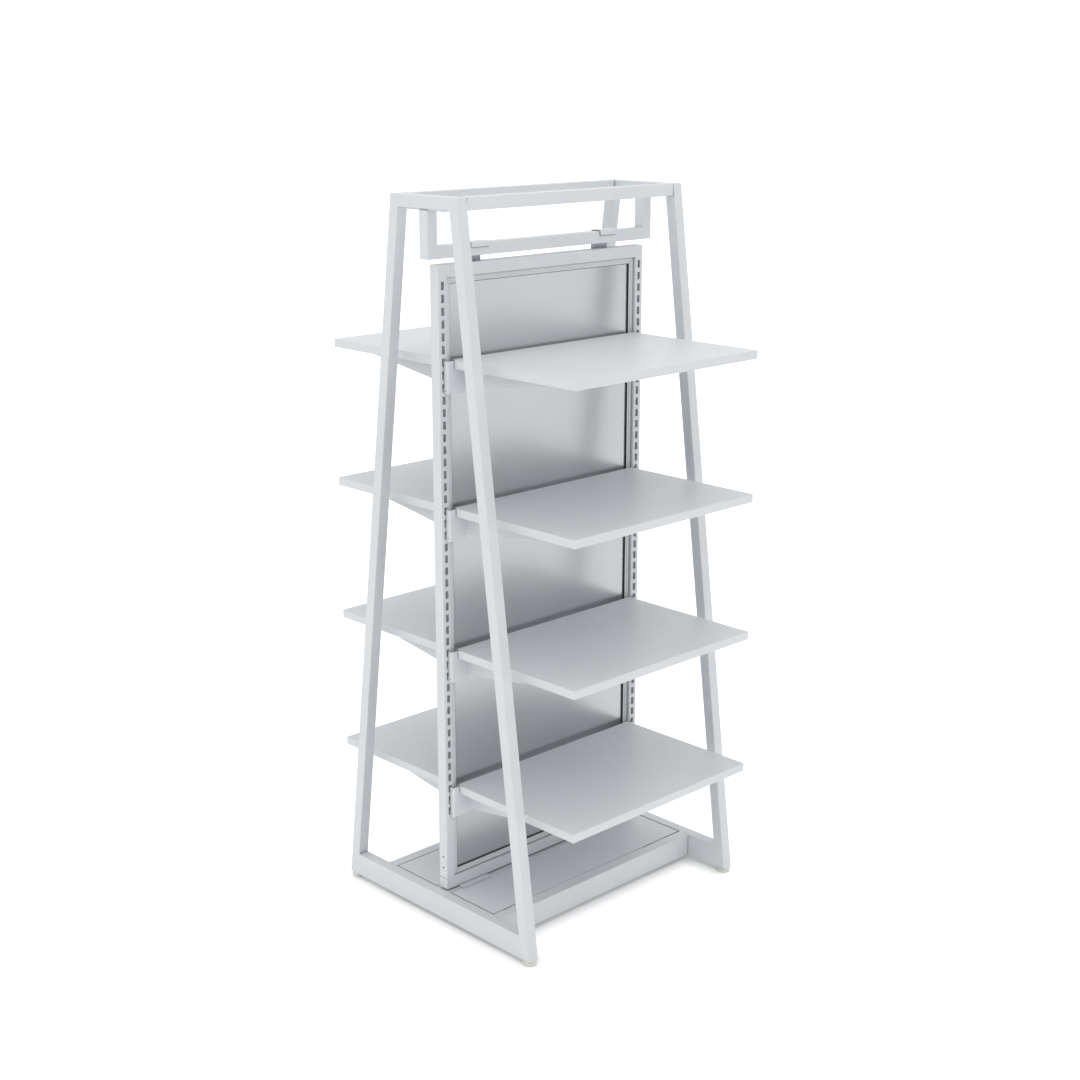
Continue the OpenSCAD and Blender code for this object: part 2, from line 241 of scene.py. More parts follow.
def lathe(profile, count, ripple=None):
    """Turned shape about Z from (radius, height) points. ripple(angle, i) adds to the radius at point i."""
    loops = []
    for i, (radius, z) in enumerate(profile):
        loop = []
        for angle in circle(count):
            r = radius + (ripple(angle, i) if ripple else 0)
            loop.append((r * math.cos(angle), r * math.sin(angle), z))
        loops.append(loop)
    return loft(loops)


def joined(*shapes):
    """Several solids in one, each keeping its own skin."""
    whole = bmesh.new()
    for shape in shapes:
        mesh = bpy.data.meshes.new("part")
        shape.to_mesh(mesh)
        shape.free()
        whole.from_mesh(mesh)
        bpy.data.meshes.remove(mesh)
    return whole


def turned(shape, matrix):
    bmesh.ops.transform(shape, matrix=matrix, verts=shape.verts)
    return shape


def along_x(shape, place):
    """A shape about Z laid along +X at a place."""
    return turned(shape, Matrix.Translation(place) @ Matrix.Rotation(math.radians(90), 4, "Y"))


def mirrored(shape, x=1, y=1):
    return turned(shape, Matrix.Diagonal((x, y, 1, 1)))


def faced_out(shape):
    bmesh.ops.recalc_face_normals(shape, faces=shape.faces[:])
    return shape


def softened(shape, width, steps=2):
    """Every crisp edge turned into a small round one."""
    faced_out(shape)
    limit = math.radians(SHARP_ANGLE)
    edges = [e for e in shape.edges if e.is_manifold and e.calc_face_angle() > limit]
    bmesh.ops.bevel(
        shape, geom=edges, offset=width, offset_type="OFFSET", segments=steps, profile=0.5,
        affect="EDGES", clamp_overlap=False,
    )
    return shape


def cut(shape, point, normal):
    """Removes what lies on the normal's side of a plane, and closes the cut."""
    everything = shape.verts[:] + shape.edges[:] + shape.faces[:]
    place = Vector(point) + Vector(normal).normalized() * SHY
    bmesh.ops.bisect_plane(shape, geom=everything, plane_co=place, plane_no=normal, clear_outer=True)
    bmesh.ops.holes_fill(shape, edges=[e for e in shape.edges if e.is_boundary])
    return shape


def scratch_object(shape):
    mesh = bpy.data.meshes.new("scratch")
    shape.to_mesh(mesh)
    shape.free()
    obj = bpy.data.objects.new("scratch", mesh)
    bpy.context.scene.collection.objects.link(obj)
    return obj


def after_modifier(shape, kind, **settings):
    """The shape with one modifier applied."""
    obj = scratch_object(shape)
    modifier = obj.modifiers.new("work", kind)
    for key, value in settings.items():
        setattr(modifier, key, value)
    result = bmesh.new()
    result.from_object(obj, bpy.context.evaluated_depsgraph_get())
    bpy.data.objects.remove(obj)
    return result


def combined(operation, shape, *others):
    """The shape cut by closed solids, or united with them."""
    other = scratch_object(faced_out(joined(*others)))
    result = after_modifier(
        faced_out(shape), "BOOLEAN", operation=operation, solver="EXACT", object=other
    )
    bpy.data.objects.remove(other)
    return result


def carved(shape, *tools):
    return combined("DIFFERENCE", shape, *tools)


def united(shape, *others):
    return combined("UNION", shape, *others)


# ---- materials ----


class Shader:
    """A material's node tree, with short calls for the nodes used here."""

    def __init__(self, name, **inputs):
        self.material = bpy.data.materials.new(name)
        self.material.use_nodes = True
        self.tree = self.material.node_tree
        self.surface = self.tree.nodes["Principled BSDF"]
        for key, value in inputs.items():
            self.surface.inputs[key.replace("_", " ")].default_value = value
        self.place = self.node("ShaderNodeTexCoord").outputs["Object"]

    def node(self, kind, links=None, **settings):
        made = self.tree.nodes.new(kind)
        for key, value in settings.items():
            setattr(made, key, value)
        for key, value in (links or {}).items():
            if isinstance(value, bpy.types.NodeSocket):
                self.tree.links.new(value, made.inputs[key])
            else:
                made.inputs[key].default_value = value
        return made

    def noise(self, scale, detail=3.0):
        return self.node(
            "ShaderNodeTexNoise",
            {"Vector": self.place, "Scale": scale, "Detail": detail, "Roughness": 0.55},
        ).outputs["Fac"]

    def ranged(self, value, low, high, from_low=0.3, from_high=0.7):
        """The value spread from one range to another, as a number."""
        return self.node(
            "ShaderNodeMapRange",
            {"Value": value, "From Min": from_low, "From Max": from_high, "To Min": low, "To Max": high},
        ).outputs["Result"]

    def times(self, first, second):
        return self.node("ShaderNodeMath", {0: first, 1: second}, operation="MULTIPLY").outputs["Value"]

    def blend(self, value, colours):
        """Colours spread evenly over the value's usual range."""
        ramp = self.node("ShaderNodeValToRGB", {"Fac": value})
        ramp.color_ramp.elements.remove(ramp.color_ramp.elements[1])
        for i, colour in enumerate(colours):
            at = 0.3 + 0.4 * i / (len(colours) - 1)
            element = ramp.color_ramp.elements[0] if i == 0 else ramp.color_ramp.elements.new(at)
            element.position = at
            element.color = (*colour, 1)
        return ramp.outputs["Color"]

    def painted_shade_mask(self, reach):
        """0 where other surfaces close a point in within the reach, 1 where none is near: the mask for
        painted shade and painted shadow.
        """
        return self.node("ShaderNodeAmbientOcclusion", {"Distance": reach}, samples=8).outputs["AO"]

    def painted_crease_shade(self, colour, reach, darkest):
        """The colour with painted shade: darker in gaps and inner corners up to the reach wide."""
        shade = self.ranged(self.painted_shade_mask(reach), darkest, 1, 0.2, 0.9)
        scaled = self.node("ShaderNodeVectorMath", {"Vector": colour, "Scale": shade}, operation="SCALE")
        return scaled.outputs["Vector"]

    def set(self, key, value):
        self.tree.links.new(value, self.surface.inputs[key])

    def bump(self, heights, distance):
        """Surface relief: each (socket, strength), one on top of the other."""
        normal = None
        for height, strength in heights:
            links = {"Height": height, "Strength": strength, "Distance": distance}
            if normal:
                links["Normal"] = normal
            normal = self.node("ShaderNodeBump", links).outputs["Normal"]
        self.set("Normal", normal)


def tone(colour, factor):
    return tuple(c * factor for c in colour)


PAINTED_SHADE_REACH = 6 * MM      # how far the painted shade in seams and inner corners spreads


def make_paint():
    """Satin powder coat: fine orange peel, slow changes of tone, slightly uneven gloss, and painted shade in
    seams and inner corners.
    """
    white = (0.695, 0.72, 0.743)
    s = Shader("powder_coat", IOR=1.5)
    coat = s.blend(s.noise(5.0), [tone(white, 0.975), white, tone(white, 1.012)])
    # painted shade: the coat's colour darkened in seams, gaps and inner corners
    s.set("Base Color", s.painted_crease_shade(coat, PAINTED_SHADE_REACH, 0.5))
    s.set("Roughness", s.ranged(s.noise(38.0), 0.36, 0.46))
    s.bump([(s.noise(14.0), 0.04), (s.noise(900.0, 2.0), 0.10)], 0.4 * MM)
    return s.material


def make_panel():
    """Satin-lacquered aluminium sheet."""
    grey = (0.54, 0.552, 0.567)
    s = Shader("satin_sheet", Metallic=0.85)
    s.set("Base Color", s.blend(s.noise(3.0), [tone(grey, 0.97), grey, tone(grey, 1.02)]))
    s.set("Roughness", s.ranged(s.noise(60.0), 0.24, 0.27))
    s.bump([(s.noise(3000.0, 2.0), 0.015)], 0.05 * MM)
    return s.material


def make_rubber():
    s = Shader("seal_rubber", IOR=1.52)
    s.set("Base Color", s.blend(s.noise(60.0), [(0.012, 0.012, 0.013), (0.026, 0.026, 0.028)]))
    s.set("Roughness", s.ranged(s.noise(400.0), 0.55, 0.75))
    s.bump([(s.noise(1500.0), 0.15)], 0.3 * MM)
    return s.material


def make_nylon():
    s = Shader("foot_nylon", IOR=1.53, Subsurface_Weight=0.35, Subsurface_Scale=0.004)
    s.surface.inputs["Subsurface Radius"].default_value = (1.0, 0.9, 0.7)
    s.set("Base Color", s.blend(s.noise(45.0), [(0.69, 0.69, 0.63), (0.77, 0.77, 0.71)]))
    s.set("Roughness", s.ranged(s.noise(220.0), 0.34, 0.48))
    s.bump([(s.noise(1300.0), 0.12)], 0.2 * MM)
    return s.material


def make_plug_plastic():
    s = Shader("plug_plastic", IOR=1.5)
    s.set("Base Color", s.blend(s.noise(50.0), [(0.035, 0.036, 0.038), (0.055, 0.056, 0.06)]))
    s.set("Roughness", s.ranged(s.noise(300.0), 0.45, 0.6))
    s.bump([(s.noise(1800.0), 0.3)], 0.2 * MM)
    return s.material


def make_steel():
    """Zinc-plated steel, cloudy and a little blue."""
    s = Shader("screw_steel", Metallic=1.0)
    s.set("Base Color", s.blend(s.noise(180.0), [(0.42, 0.43, 0.45), (0.62, 0.63, 0.64), (0.55, 0.57, 0.60)]))
    s.set("Roughness", s.ranged(s.noise(420.0), 0.26, 0.44))
    s.bump([(s.noise(2200.0), 0.2)], 0.1 * MM)
    return s.material


def make_black_oxide():
    s = Shader("black_oxide", Metallic=0.8)
    s.set("Base Color", s.blend(s.noise(240.0), [(0.03, 0.03, 0.032), (0.06, 0.06, 0.064)]))
    s.set("Roughness", s.ranged(s.noise(500.0), 0.35, 0.5))
    s.bump([(s.noise(2200.0), 0.2)], 0.1 * MM)
    return s.material


PAINT = make_paint()
PANEL = make_panel()
RUBBER = make_rubber()
NYLON = make_nylon()
PLUG = make_plug_plastic()
STEEL = make_steel()
BLACK_OXIDE = make_black_oxide()

# ---- pieces ----


def piece(name, shape, nodes, body=BODY, material=PAINT):
    """Puts a finished solid in the scene, riding on a body and standing for CAD nodes."""
    faced_out(shape)
    mesh = bpy.data.meshes.new(name)
    shape.to_mesh(mesh)
    shape.free()
    mesh.shade_smooth()
    mesh.set_sharp_from_angle(angle=math.radians(SHARP_ANGLE))
    mesh.materials.append(material)
    obj = bpy.data.objects.new(name, mesh)
    bpy.context.scene.collection.objects.link(obj)
    even = obj.modifiers.new("even_normals", "WEIGHTED_NORMAL")
    even.keep_sharp = True
    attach(obj, body)
    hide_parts(*nodes)


def keep_node(node, material):
    """A CAD node whose shape is right: it gets a material and small round edges."""
    obj = frame["nodes"][node]
    obj.data.materials.clear()
    obj.data.materials.append(material)
    weld = obj.modifiers.new("weld", "WELD")
    weld.merge_threshold = 0.01 * MM
    bevel = obj.modifiers.new("edge", "BEVEL")
    bevel.width = BUTT_EDGE
    bevel.segments = 2
    bevel.limit_method = "ANGLE"
    bevel.angle_limit = math.radians(SHARP_ANGLE)
    even = obj.modifiers.new("even_normals", "WEIGHTED_NORMAL")
    even.keep_sharp = True


# ---- screws ----


def hexagon(inner_radius, count):
    """(radius, angle) round a hexagon."""
    step = math.pi / 3
    return [(inner_radius / math.cos((a + step / 2) % step - step / 2), a) for a in circle(count)]


def button_head(radius, height, shank, length):
    """Profile of a domed head, from the foot of its shank up."""
    turns = [math.radians(d) for d in (0, 15, 30, 45, 58)]
    dome = [(radius * math.cos(t), 0.25 * height + 0.75 * height * math.sin(t)) for t in turns]
    return [(shank, -length), (shank, 0), (radius - 0.2 * MM, 0), (radius, 0.15 * height), *dome]


def screw(profile, socket, depth):
    """A screw about Z with a hexagonal socket. profile runs from the shank's foot up to the socket's rim."""
    count = 48
    loops = []
    for radius, z in profile:
        loops.append([(radius * math.cos(a), radius * math.sin(a), z) for a in circle(count)])
    top = profile[-1][1]
    for z in (top, top - depth):
        loops.append([(r * math.cos(a), r * math.sin(a), z) for r, a in hexagon(socket / 2, count)])
    return loft(loops)


# ---- end frames, welded and ground flush ----


def end_frame_ring():
    """The right end frame as one loop of tube."""
    head = TOP - TUBE
    outer = [(-FOOT_HALF, LEG_FOOT), (FOOT_HALF, LEG_FOOT), (TOP_HALF, TOP), (-TOP_HALF, TOP)]
    inner = [
        (-leg_inner(END_RAIL_TOP), END_RAIL_TOP),
        (leg_inner(END_RAIL_TOP), END_RAIL_TOP),
        (leg_inner(head), head),
        (-leg_inner(head), head),
    ]
    return softened(tube_ring(outer, inner, "x", END_IN, END_OUT, TUBE_ROUND), GROUND_EDGE)


def leg_bore(low, high, inset=WALL):
    """The space inside the right rear leg between two heights."""
    loops = []
    for z in (low, high):
        corners = rectangle(END_IN + inset, END_OUT - inset, leg_inner(z) + inset, leg_edge(z) - inset)
        loops.append([lift("z", p.x, p.y, z) for p in rounded(corners, BORE_ROUND)])
    return loft(loops)


def build_end_frame(end):
    turn = ENDS[end]
    half_up = (TOP + LEG_FOOT) / 2
    for side, way in SIDES.items():
        slope = Vector((0, -way, -LEAN))
        leg = cut(end_frame_ring(), Vector((0, way * leg_inner(half_up), half_up)), slope)
        bore = mirrored(leg_bore(LEG_FOOT - TUBE, LEG_FOOT + 2 * TUBE), y=way)
        name = f"{end}_{side}_leg"
        piece(f"{name}_tube", mirrored(carved(leg, bore), x=turn), nodes=[name])
    for part, up in (("top_rail", 1), ("bottom_rail", -1)):
        rail = cut(end_frame_ring(), Vector((0, 0, half_up)), Vector((0, 0, -up)))
        for way in SIDES.values():
            cut(rail, Vector((0, way * leg_inner(half_up), half_up)), Vector((0, way, LEAN)))
        name = f"{end}_{part}"
        piece(f"{name}_tube", mirrored(rail, x=turn), nodes=[name])


def build_top_rails():
    for side in SIDES:
        rail = f"{side}_top_rail"
        piece(f"{rail}_tube", softened(bar(rail, "x", trim=SEAM), BUTT_EDGE), nodes=[rail])


# ---- hanger ----


def hanger_ring():
    """A loop of tube whose lower three sides are the hanger; its top side is cut away later."""
    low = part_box("hanger_bar")[0].z
    over = TOP + TUBE
    outer = rectangle(-END_OUT, END_OUT, low, over)
    inner = rectangle(-END_IN, END_IN, low + TUBE, over - TUBE)
    ring = softened(tube_ring(outer, inner, "y", -TUBE / 2, TUBE / 2, TUBE_ROUND), GROUND_EDGE)
    post_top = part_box("right_hanger_post")[1].z
    return cut(ring, Vector((0, 0, post_top)), Vector((0, 0, 1)))


def build_hanger():
    for end, turn in ENDS.items():
        post = cut(hanger_ring(), Vector((turn * END_IN, 0, 0)), Vector((-turn, 0, 0)))
        piece(f"{end}_hanger_post_tube", post, nodes=[f"{end}_hanger_post"])
    beam = hanger_ring()
    for turn in ENDS.values():
        cut(beam, Vector((turn * END_IN, 0, 0)), Vector((turn, 0, 0)))
    piece("hanger_bar_tube", beam, nodes=["hanger_bar"])


def build_flanges():
    """Round-ended plates between the posts and the end frames' top rails."""
    low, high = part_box("hanger_flanges")
    width, edge = 20 * MM, 0.4 * MM
    outline = rounded(rectangle(high.x - width, high.x, low.y, high.y), width / 2 - SHY, steps=12)
    for end, turn in ENDS.items():
        plate = softened(prism(outline, "z", low.z, high.z), edge)
        piece(f"{end}_hanger_flange", mirrored(plate, x=turn), nodes=["hanger_flanges"])


def build_clips():
    """Sheet clips with a soft liner under the top and inside the lip, and two screws behind each."""
    sheet, liner, bend, inset, front_lip = 1 * MM, 1.5 * MM, 3 * MM, 0.1 * MM, 11 * MM
    spread, height = 14 * MM, (HEAD_LOW + PANEL_FRAME_TOP) / 2
    pad_low, pad_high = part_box("clip_liners")
    pad_line = [(pad_high.y, pad_high.z), (pad_low.y, pad_high.z), (pad_low.y, pad_low.z)]
    for end in ENDS:
        low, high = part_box(f"{end}_hook_clip")
        line = [(high.y, low.z), (high.y, high.z), (low.y, high.z), (low.y, high.z - front_lip)]
        clip = softened(prism(folded(line, sheet, bend), "x", low.x, high.x), 0.2 * MM)
        piece(f"{end}_hook_clip_strip", clip, nodes=[f"{end}_hook_clip"])
        pad = prism(folded(pad_line, liner, bend - sheet), "x", low.x + inset, high.x - inset)
        piece(f"{end}_clip_liner", softened(pad, 0.15 * MM), nodes=["clip_liners"],
              material=RUBBER)
        screws = []
        for dx in (-spread, spread):
            upright = screw(button_head(4 * MM, 2.4 * MM, 2 * MM, 4.5 * MM), 2.5 * MM, 1.3 * MM)
            place = Matrix.Translation(((low.x + high.x) / 2 + dx, high.y, height))
            screws.append(turned(upright, place @ Matrix.Rotation(math.radians(-90), 4, "X")))
        piece(f"{end}_clip_screw_pair", joined(*screws), nodes=["clip_screws"],
              material=STEEL)


# ---- centre panel frame ----


def slot_tools():
    """One rounded block for each slot of the right upright, through both of its faces."""
    first = mounts["rear_right_slot_row"]
    width, height, pitch, count = 8 * MM, 16 * MM, 25 * MM, 45
    tools = []
    for k in range(count):
        z = first.z - k * pitch
        box = rectangle(first.x - width / 2, first.x + width / 2, z - height / 2, z + height / 2)
        tools.append(prism(rounded(box, 1.2 * MM, steps=3), "y", -TUBE, TUBE))
    return tools


def grub_places():
    """Centres of the right upright's screw holes on its outer face."""
    low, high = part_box("grub_screws")
    middle, reach = (low.z + high.z) / 2, 12.5 * MM
    return [Vector((UPRIGHT_OUT, 0, middle + dz)) for dz in (-reach, reach)]


def panel_frame_ring():
    """Uprights and head as one loop, cut off where the uprights stand on the bottom rail."""
    outer = rectangle(-UPRIGHT_OUT, UPRIGHT_OUT, 0, PANEL_FRAME_TOP)
    inner = rectangle(-UPRIGHT_IN, UPRIGHT_IN, UPRIGHT_LOW - TUBE, HEAD_LOW)
    ring = softened(tube_ring(outer, inner, "y", -TUBE / 2, TUBE / 2, TUBE_ROUND * 0.7), GROUND_EDGE)
    return cut(ring, Vector((0, 0, UPRIGHT_LOW)), Vector((0, 0, -1)))


def build_panel_frame():
    bore = rectangle(UPRIGHT_IN + WALL, UPRIGHT_OUT - WALL, -TUBE / 2 + WALL, TUBE / 2 - WALL)
    post = cut(panel_frame_ring(), Vector((UPRIGHT_IN, 0, 0)), Vector((-1, 0, 0)))
    hollow = prism(rounded(bore, BORE_ROUND), "z", UPRIGHT_LOW - TUBE, PANEL_FRAME_TOP - WALL)
    radius = 2.1 * MM
    holes = [along_x(lathe([(radius, -TUBE / 2), (radius, TUBE)], 24), p) for p in grub_places()]
    post = softened(carved(carved(post, hollow), *slot_tools(), *holes), 0.2 * MM, steps=1)
    for end, turn in ENDS.items():
        piece(f"{end}_upright_tube", mirrored(post.copy(), x=turn), nodes=[f"{end}_upright"])
    post.free()
    head = panel_frame_ring()
    for turn in ENDS.values():
        cut(head, Vector((turn * UPRIGHT_IN, 0, 0)), Vector((turn, 0, 0)))
    piece("panel_top_rail_tube", head, nodes=["panel_top_rail"])
    piece("panel_bottom_rail_tube", softened(bar("panel_bottom_rail", "x", TUBE_ROUND * 0.7), BUTT_EDGE),
          nodes=["panel_bottom_rail"])
    build_end_caps()
    build_grub_screws()
    keep_node("upright_inserts", STEEL)
    keep_node("back_panel", PANEL)


def build_end_caps():
    """Push-in caps of the bottom rail: a face plate a little smaller than the tube."""
    gap, top_gap, thickness = 0.5 * MM, 1.3 * MM, 1.5 * MM
    low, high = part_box("panel_bottom_rail")
    outline = rounded(rectangle(low.y + gap, high.y - gap, low.z + gap, high.z - top_gap), 2 * MM)
    for end, turn in ENDS.items():
        plate = prism(outline, "x", high.x, high.x + thickness)
        piece(f"{end}_rail_end_cap", mirrored(softened(plate, 0.5 * MM), x=turn), nodes=["rail_end_caps"])


def build_grub_screws():
    """Socket set screws, a millimetre below the upright's face."""
    radius, sunk, length = 2 * MM, 1 * MM, 12 * MM
    profile = [(radius - 0.4 * MM, -length - sunk), (radius, 0.4 * MM - length - sunk),
               (radius, -0.3 * MM - sunk), (radius - 0.3 * MM, -sunk)]
    for end, turn in ENDS.items():
        screws = [along_x(screw(profile, 2 * MM, 1.6 * MM), p) for p in grub_places()]
        piece(f"{end}_grub_screw_pair", mirrored(joined(*screws), x=turn), nodes=["grub_screws"],
              material=BLACK_OXIDE)


def panel_opening():
    return rectangle(-UPRIGHT_IN, UPRIGHT_IN, UPRIGHT_LOW, HEAD_LOW)


def build_trims():
    """Stepped beads in four mitred lengths, and a thin seal that lines their inner edge."""
    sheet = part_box("back_panel")[1].y
    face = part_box("rear_trim")[1].y
    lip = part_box("rear_seal")[1].y
    width, step_width, step, mitre_gap = 12.5 * MM, 4.5 * MM, 1 * MM, 0.12 * MM
    groove, groove_depth = 0.9 * MM, 2 * MM
    section = [
        (0, sheet), (width, sheet), (width, face - step), (width - step_width, face - step),
        (width - step_width, face), (groove, face), (groove, face - groove_depth), (0, face - groove_depth),
    ]
    names = ("bottom", "right", "top", "left")
    for side, way in SIDES.items():
        for k, name in enumerate(names):
            loops = []
            for j in (k, (k + 1) % 4):
                loops.append([lift("y", *moved_in(panel_opening(), u)[j], way * v) for u, v in section])
            run = (loops[1][0] - loops[0][0]).normalized()
            for loop, pull in zip(loops, (mitre_gap, -mitre_gap)):
                for point in loop:
                    point += run * pull
            piece(f"{side}_{name}_trim_bead", softened(loft(loops), 0.25 * MM), nodes=[f"{side}_trim"])
        lining = [(width, sheet), (width, lip - 0.3 * MM), (width + 0.3 * MM, lip), (width + 0.7 * MM, lip),
                  (width + 1 * MM, lip - 0.3 * MM), (width + 1 * MM, sheet)]
        loops = [[lift("y", p.x, p.y, way * v) for p in moved_in(panel_opening(), u)] for u, v in lining]
        piece(f"{side}_seal_lip", loft(loops, ring=True), nodes=[f"{side}_seal"],
              material=RUBBER)


# ---- plinth ----

PLATE_LENGTH = 80 * MM
DECK_SHEET = 1.5 * MM
DECK_BEND = 1.6 * MM       # a little rounder than the other sheets


def plate_screw_places():
    """Places of the four screws, on the middle rail's centre line."""
    middle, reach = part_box("foot_plates")[1].x - PLATE_LENGTH / 2, 15 * MM
    return [turn * (middle + dx) for turn in ENDS.values() for dx in (-reach, reach)]


def drilled(shape):
    """A shape with the plate screws' holes through it."""
    radius = 3.1 * MM
    hole = [(radius, 0), (radius, 4 * TUBE)]
    return carved(shape, *(turned(lathe(hole, 32), Matrix.Translation((x, 0, 0)))
                           for x in plate_screw_places()))


def build_plinth():
    for side in SIDES:
        name = f"{side}_plinth_rail"
        piece(f"{name}_tube", softened(bar(name, "x"), BUTT_EDGE), nodes=[name])
        low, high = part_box(f"{side}_deck")
        line = [(high.x, low.z), (high.x, high.z), (low.x, high.z), (low.x, low.z)]
        sheet = prism(folded(line, DECK_SHEET, DECK_BEND), "y", low.y, high.y)
        piece(f"{side}_deck_sheet", softened(sheet, 0.3 * MM), nodes=[f"{side}_deck"])
    middle = softened(bar("plinth_middle_rail", "x"), BUTT_EDGE)
    piece("plinth_middle_rail_tube", drilled(middle), nodes=["plinth_middle_rail"])
    keep_node("deck_bearers", PAINT)
    build_foot_plates()


def build_foot_plates():
    """Packing plates under the panel frame, and the cap screws that hold it, put in from below."""
    low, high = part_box("foot_plates")
    under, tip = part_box("plate_screws")[0].z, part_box("plate_screws")[1].z
    shank, head, head_height, edge = 3 * MM, 5 * MM, 6 * MM, 0.6 * MM
    profile = [(shank, under + head_height - tip), (shank, 0), (head, 0), (head, head_height - edge),
               (head - edge, head_height)]
    for end, turn in ENDS.items():
        flat = rounded(rectangle(high.x - PLATE_LENGTH, high.x, low.y, high.y), 1 * MM)
        plate = softened(prism(flat, "z", low.z, high.z), 0.3 * MM)
        piece(f"{end}_foot_plate", drilled(mirrored(plate, x=turn)), nodes=["foot_plates"])
    screws = []
    for x in plate_screw_places():
        place = Matrix.Translation((x, 0, under + head_height))
        screws.append(turned(screw(profile, 5 * MM, 3 * MM), place @ Matrix.Rotation(math.pi, 4, "X")))
    piece("plate_screw_set", joined(*screws), nodes=["plate_screws"], material=STEEL)


# ---- feet ----


def foot_profile():
    """Nylon foot from the floor up: flared pad, gripping ribs, neck and shoulder. True marks the ribs."""
    return [
        (6.0, 0.5, False), (7.0, 0.0, False), (12.6, 0.0, False), (13.6, 0.4, False), (14.0, 1.3, False),
        (14.0, 1.8, True), (14.0, 5.6, True), (14.0, 6.1, False), (13.7, 6.8, False),
        (12.9, 7.3, False), (12.5, 8.0, False), (12.3, 9.3, False), (11.6, 10.0, False),
    ]


def foot_shape():
    points = foot_profile()
    ribs, depth = 40, 0.35 * MM

    def groove(angle, i):
        return -depth * (0.5 - 0.5 * math.cos(ribs * angle)) if points[i][2] else 0

    return lathe([(r * MM, z * MM) for r, z, _ in points], ribs * 4, groove)


def stud_shape(low, high):
    """Threaded stud: each level's loop is turned a little further round the helix."""
    radius, depth, pitch, steps, count = 4.0 * MM, 0.5 * MM, 1.25 * MM, 6, 24
    loops = []
    for i in range(int((high - low) / pitch * steps) + 1):
        z = low + i * pitch / steps
        loop = []
        for angle in circle(count):
            phase = (i / steps + angle / (2 * math.pi)) % 1
            r = radius - depth * (1 - abs(2 * phase - 1))
            loop.append((r * math.cos(angle), r * math.sin(angle), z))
        loops.append(loop)
    return loft(loops)


def build_feet():
    for side in SIDES:
        for end in ENDS:
            name = f"{side}_{end}_foot"
            low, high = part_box(name)
            at = Matrix.Translation(((low.x + high.x) / 2, (low.y + high.y) / 2, low.z))
            piece(f"{name}_pad", turned(foot_shape(), at), body=name, nodes=[name],
                  material=NYLON)
            stud = stud_shape(9.5 * MM, high.z - low.z)
            piece(f"{name}_stud", turned(stud, at), body=name, nodes=[name],
                  material=STEEL)
            build_leg_plug(side, end, at)


def build_leg_plug(side, end, foot_at):
    """Plastic plug in the leg's open end, with the hole for the foot's stud."""
    height, room, hole = 20 * MM, 0.08 * MM, 4.1 * MM
    block = softened(leg_bore(LEG_FOOT, LEG_FOOT + height, WALL + room), 0.5 * MM)
    block = mirrored(block, x=ENDS[end], y=SIDES[side])
    drill = turned(lathe([(hole, 0), (hole, LEG_FOOT + 2 * height)], 32), foot_at)
    piece(f"{side}_{end}_leg_plug", carved(block, drill), nodes=["leg_plugs"],
          material=PLUG)


# ---- shelves ----


def tray_shape():
    """Rear top tray: one sheet with its edges folded down, corners closed, and hems on three sides."""
    low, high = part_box("rear_tray_1")
    x, near, far, top, foot = high.x, low.y, high.y, high.z, low.z
    side_near = near + 10 * MM
    relief, hem, mitre, bend, sheet = 2.6 * MM, 12 * MM, 3 * MM, SHEET_BEND, 1.2 * MM
    bm = bmesh.new()
    made = {}

    def corner(*place):
        key = tuple(round(c, 7) for c in place)
        if key not in made:
            made[key] = bm.verts.new(place)
        return made[key]

    def face(*places):
        return bm.faces.new([corner(*p) for p in places])

    tab = x - relief
    face((-tab, near, top), (tab, near, top), (tab, side_near, top), (x, side_near, top), (x, far, top),
         (-x, far, top), (-x, side_near, top), (-tab, side_near, top))
    face((tab, near, top), (-tab, near, top), (-tab, near, foot), (tab, near, foot))
    face((-x, far, top), (x, far, top), (x, far, foot), (x - mitre, far, foot),
         (mitre - x, far, foot), (-x, far, foot))
    face((x - mitre, far, foot), (x - mitre - hem, far - hem, foot), (mitre + hem - x, far - hem, foot),
         (mitre - x, far, foot))
    for way in (-1, 1):
        side = [(way * x, side_near, top), (way * x, far, top), (way * x, far, foot),
                (way * x, far - mitre, foot), (way * x, side_near, foot)]
        under = [(way * x, side_near, foot), (way * x, far - mitre, foot),
                 (way * (x - hem), far - mitre - hem, foot), (way * (x - hem), side_near, foot)]
        face(*(side if way < 0 else side[::-1]))
        face(*(under if way < 0 else under[::-1]))
    bm.normal_update()
    bends = [e for e in bm.edges if len(e.link_faces) == 2]
    bmesh.ops.bevel(bm, geom=bends, offset=bend, offset_type="OFFSET", segments=ARC_STEPS, profile=0.5,
                    affect="EDGES", clamp_overlap=False)
    return after_modifier(bm, "SOLIDIFY", thickness=sheet, offset=-1, use_even_offset=True)


